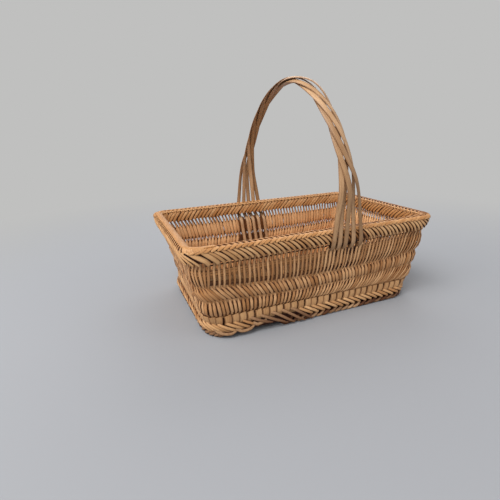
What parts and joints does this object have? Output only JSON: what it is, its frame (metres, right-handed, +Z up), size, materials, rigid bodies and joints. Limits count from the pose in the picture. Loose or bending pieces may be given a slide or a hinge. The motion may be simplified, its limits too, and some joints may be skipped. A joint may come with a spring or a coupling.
{
  "type": "wicker gathering basket",
  "caption": "Oblong flared wicker basket with woven stake walls, an open row under a slanted rim border, a rolled foot and a tall arched carrying handle of flat splints.",
  "frame": {"origin": "on the ground under the middle of the basket", "axes": "+X along the basket's long side, +Y across it towards the back, +Z up"},
  "size_m": [0.4, 0.2598, 0.3434],
  "materials": {
    "foot_wicker": "matt peeled willow strands, slightly weathered",
    "stake_wicker": "matt peeled split stakes with fine grain",
    "rim_wicker": "satin peeled split slats, the palest part",
    "weaver_wicker": "matt rods, darker inside the weave",
    "base_wicker": "matt flat splints",
    "handle_wicker": "satin flat splints, smoothed by hand"
  },
  "bodies": {
    "root": {"front_foot_border": "foot_wicker", "front_right_foot_border": "foot_wicker", "right_foot_border": "foot_wicker", "back_right_foot_border": "foot_wicker", "back_foot_border": "foot_wicker", "back_left_foot_border": "foot_wicker", "left_foot_border": "foot_wicker", "front_left_foot_border": "foot_wicker", "front_stakes": "stake_wicker", "front_right_stakes": "stake_wicker", "right_stakes": "stake_wicker", "back_right_stakes": "stake_wicker", "back_stakes": "stake_wicker", "back_left_stakes": "stake_wicker", "left_stakes": "stake_wicker", "front_left_stakes": "stake_wicker", "front_rim_border": "rim_wicker", "front_right_rim_border": "rim_wicker", "right_rim_border": "rim_wicker", "back_right_rim_border": "rim_wicker", "back_rim_border": "rim_wicker", "back_left_rim_border": "rim_wicker", "left_rim_border": "rim_wicker", "front_left_rim_border": "rim_wicker", "lower_weaver": "weaver_wicker", "middle_weaver": "weaver_wicker", "upper_weaver": "weaver_wicker", "base_length_splint_1": "base_wicker", "base_length_splint_2": "base_wicker", "base_length_splint_3": "base_wicker", "base_length_splint_4": "base_wicker", "base_length_splint_5": "base_wicker", "base_length_splint_6": "base_wicker", "base_cross_splint_1": "base_wicker", "base_cross_splint_2": "base_wicker", "base_cross_splint_3": "base_wicker", "base_cross_splint_4": "base_wicker", "base_cross_splint_5": "base_wicker", "base_cross_splint_6": "base_wicker", "base_cross_splint_7": "base_wicker", "base_cross_splint_8": "base_wicker", "base_cross_splint_9": "base_wicker", "handle_splint_1": "handle_wicker", "handle_splint_2": "handle_wicker", "handle_splint_3": "handle_wicker", "handle_splint_4": "handle_wicker", "handle_splint_5": "handle_wicker"}
  },
  "joints": []
}
